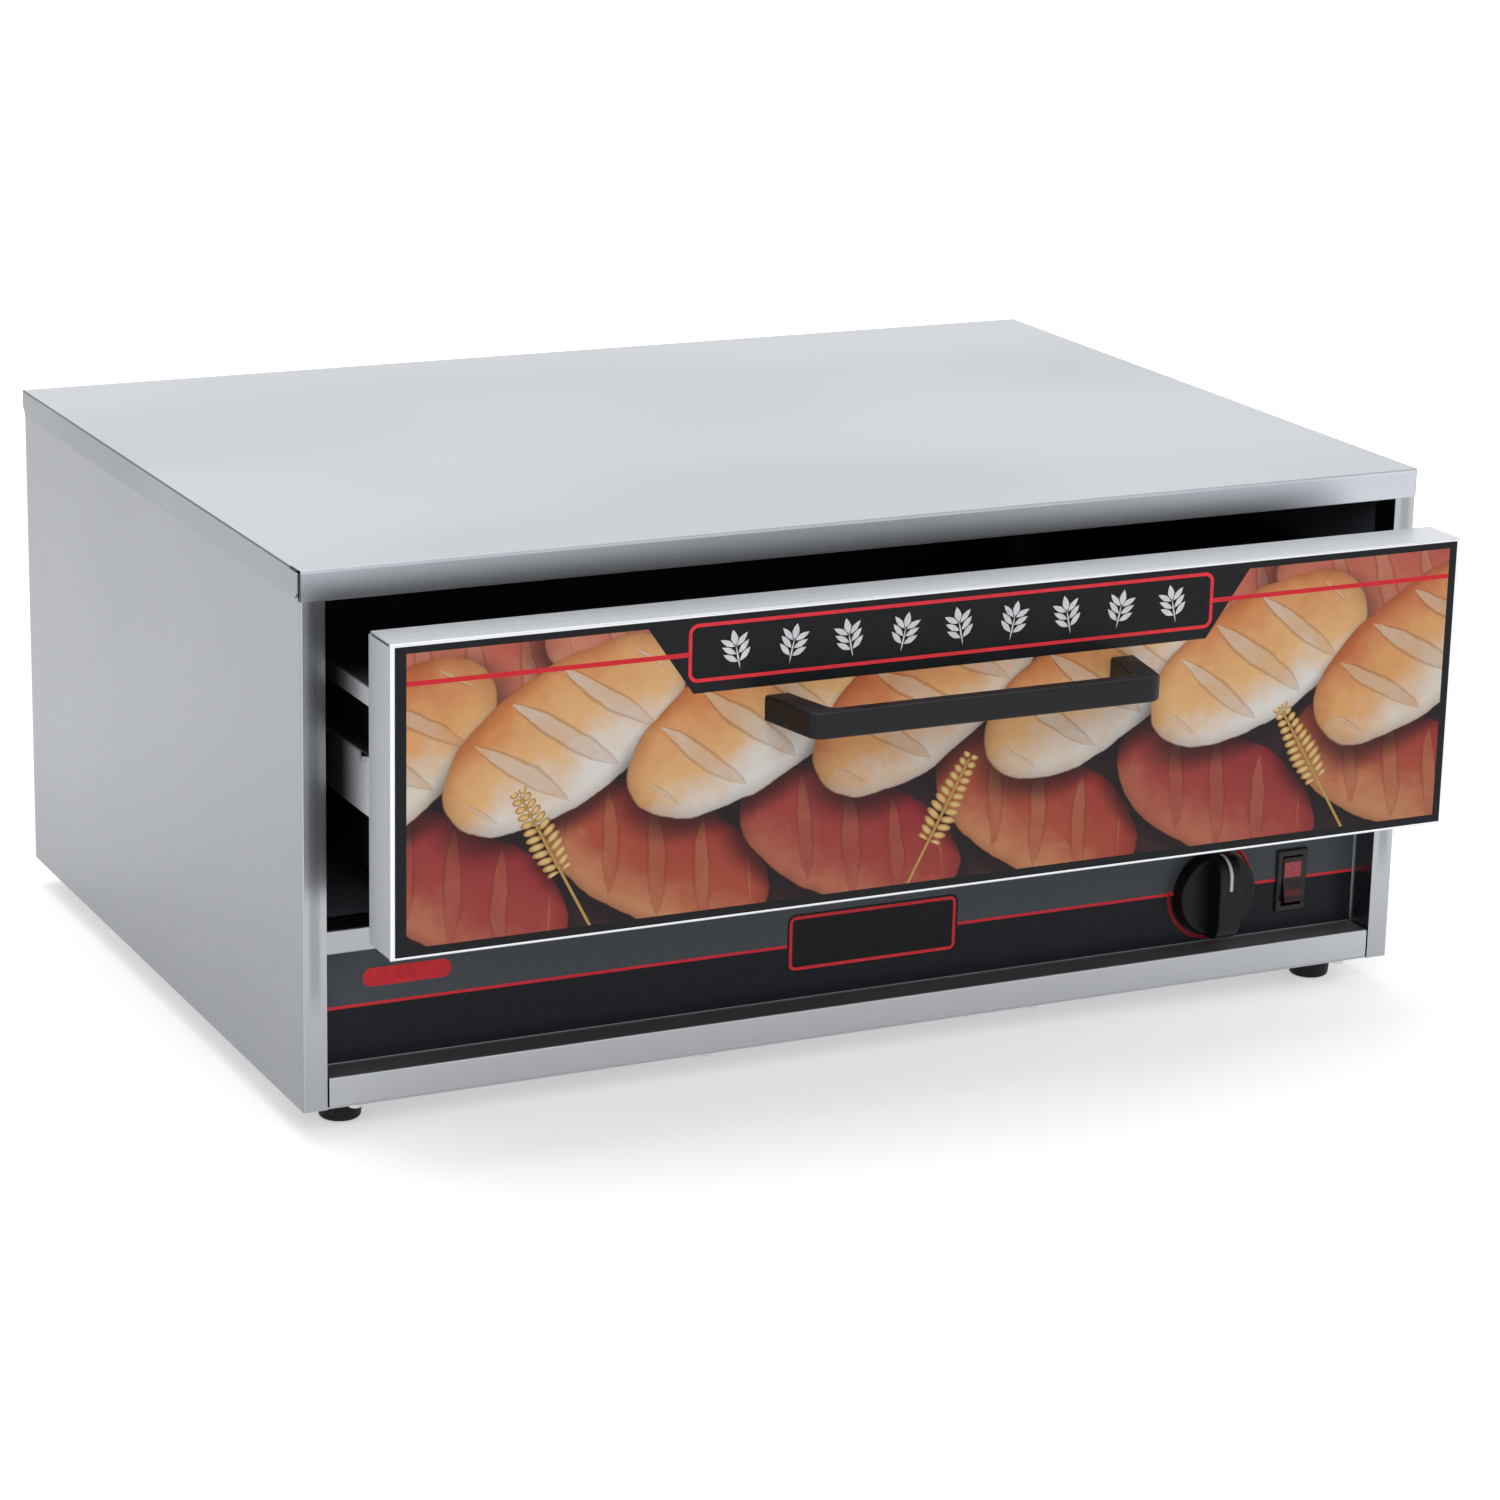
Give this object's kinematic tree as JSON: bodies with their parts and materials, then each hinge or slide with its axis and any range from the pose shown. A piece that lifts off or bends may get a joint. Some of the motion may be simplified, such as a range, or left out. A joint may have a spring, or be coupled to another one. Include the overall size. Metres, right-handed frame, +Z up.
{
  "type": "hot dog bun warmer",
  "caption": "Countertop drawer warmer for buns: folded steel cabinet with a sliding drawer, bar handle, dial knob and rocker switch.",
  "frame": {"origin": "centre of the footprint of the whole object at rest, drawer ajar and handle included, on the counter", "axes": "+X to the user's right, +Y to the back, +Z up; the drawer opens towards -Y"},
  "size_m": [0.624, 0.557, 0.2855],
  "materials": {
    "brushed_steel": "fine brushed satin",
    "base_steel": "mill finish",
    "pan_steel": "bright drawn",
    "chamber_lining": "satin black heat-proof coat",
    "shield_steel": "aluminised",
    "slide_zinc": "bright zinc",
    "ball_steel": "polished",
    "screw_steel": "bright zinc",
    "element_sheath": "oxidised",
    "clip_steel": "plated",
    "bush_ceramic": "unglazed ceramic",
    "thermostat_case": "plated case",
    "copper_tube": "drawn",
    "control_film": "satin printed film",
    "drawer_film": "satin printed film",
    "handle_plastic": "moulded, fine grain",
    "knob_plastic": "moulded",
    "pointer_white": "inlaid",
    "switch_black": "moulded",
    "rocker_red": "clear red moulding",
    "tab_brass": "tinned",
    "inlet_plastic": "moulded",
    "block_plastic": "moulded",
    "lead_cover": "sleeved",
    "foot_rubber": "moulded"
  },
  "bodies": {
    "cabinet": {"top_cover": "brushed_steel", "left_side_panel": "brushed_steel", "right_side_panel": "brushed_steel", "rear_panel": "brushed_steel", "base_pan": "base_steel", "bottom_rail": "brushed_steel", "sill_rail": "brushed_steel", "control_panel": "brushed_steel", "control_overlay": "control_film", "left_liner": "chamber_lining", "right_liner": "chamber_lining", "top_liner": "chamber_lining", "rear_liner": "chamber_lining", "heat_deck": "chamber_lining", "heat_shield": "shield_steel", "heating_element": "element_sheath", "deck_clips": "clip_steel", "element_bushes": "bush_ceramic", "thermostat_body": "thermostat_case", "thermostat_screws": "screw_steel", "capillary_and_bulb": "copper_tube", "switch_housing": "switch_black", "switch_tabs": "tab_brass", "cord_bushing": "inlet_plastic", "bushing_nut": "inlet_plastic", "terminal_block": "block_plastic", "earth_stud": "screw_steel", "inner_leads": "lead_cover", "rubber_feet": "foot_rubber", "base_screws": "screw_steel", "rear_screws": "screw_steel", "left_cabinet_slide": "slide_zinc", "right_cabinet_slide": "slide_zinc", "cabinet_slide_screws": "screw_steel"},
    "drawer": {"drawer_front_shell": "brushed_steel", "drawer_front_back": "brushed_steel", "drawer_front_screws": "screw_steel", "drawer_label": "drawer_film", "drawer_handle": "handle_plastic", "handle_screws": "screw_steel", "drawer_pan": "pan_steel", "bun_rack": "pan_steel", "water_tray": "pan_steel", "rear_crossbar": "slide_zinc", "left_drawer_rail": "slide_zinc", "right_drawer_rail": "slide_zinc", "left_drawer_slide": "slide_zinc", "right_drawer_slide": "slide_zinc", "drawer_slide_screws": "screw_steel"},
    "left_middle": {"left_middle_slide": "slide_zinc"},
    "right_middle": {"right_middle_slide": "slide_zinc"},
    "left_outer_cage": {"left_outer_ball_cage": "ball_steel"},
    "left_inner_cage": {"left_inner_ball_cage": "ball_steel"},
    "right_outer_cage": {"right_outer_ball_cage": "ball_steel"},
    "right_inner_cage": {"right_inner_ball_cage": "ball_steel"},
    "knob": {"control_knob": "knob_plastic", "knob_pointer": "pointer_white", "thermostat_shaft": "thermostat_case"},
    "rocker": {"switch_rocker": "rocker_red"}
  },
  "joints": [
    {"name": "drawer_slide", "type": "slide", "parent": "cabinet", "child": "drawer", "axis": [0, -1, 0], "range_m": [-0.069, 0.291]},
    {"name": "left_middle_run", "type": "slide", "parent": "cabinet", "child": "left_middle", "axis": [0, -1, 0], "range_m": [-0.0347, 0.1457]},
    {"name": "right_middle_run", "type": "slide", "parent": "cabinet", "child": "right_middle", "axis": [0, -1, 0], "range_m": [-0.0347, 0.1457]},
    {"name": "left_outer_cage_run", "type": "slide", "parent": "cabinet", "child": "left_outer_cage", "axis": [0, -1, 0], "range_m": [-0.01745, 0.07295]},
    {"name": "right_outer_cage_run", "type": "slide", "parent": "cabinet", "child": "right_outer_cage", "axis": [0, -1, 0], "range_m": [-0.01745, 0.07295]},
    {"name": "left_inner_cage_run", "type": "slide", "parent": "cabinet", "child": "left_inner_cage", "axis": [0, -1, 0], "range_m": [-0.05195, 0.21845]},
    {"name": "right_inner_cage_run", "type": "slide", "parent": "cabinet", "child": "right_inner_cage", "axis": [0, -1, 0], "range_m": [-0.05195, 0.21845]},
    {"name": "knob_turn", "type": "hinge", "parent": "cabinet", "child": "knob", "pos_m": [0.2082, -0.1515, 0.0597], "axis": [0, -1, 0], "range_deg": [-135, 135]},
    {"name": "switch_rock", "type": "hinge", "parent": "cabinet", "child": "rocker", "pos_m": [0.2583, -0.1475, 0.0599], "axis": [1, 0, 0], "range_deg": [0, 14]}
  ],
  "couplings": [
    {"joint": "left_middle_run", "follows": "drawer_slide", "ratio": 0.5},
    {"joint": "right_middle_run", "follows": "drawer_slide", "ratio": 0.5},
    {"joint": "left_outer_cage_run", "follows": "drawer_slide", "ratio": 0.25},
    {"joint": "right_outer_cage_run", "follows": "drawer_slide", "ratio": 0.25},
    {"joint": "left_inner_cage_run", "follows": "drawer_slide", "ratio": 0.75},
    {"joint": "right_inner_cage_run", "follows": "drawer_slide", "ratio": 0.75}
  ]
}
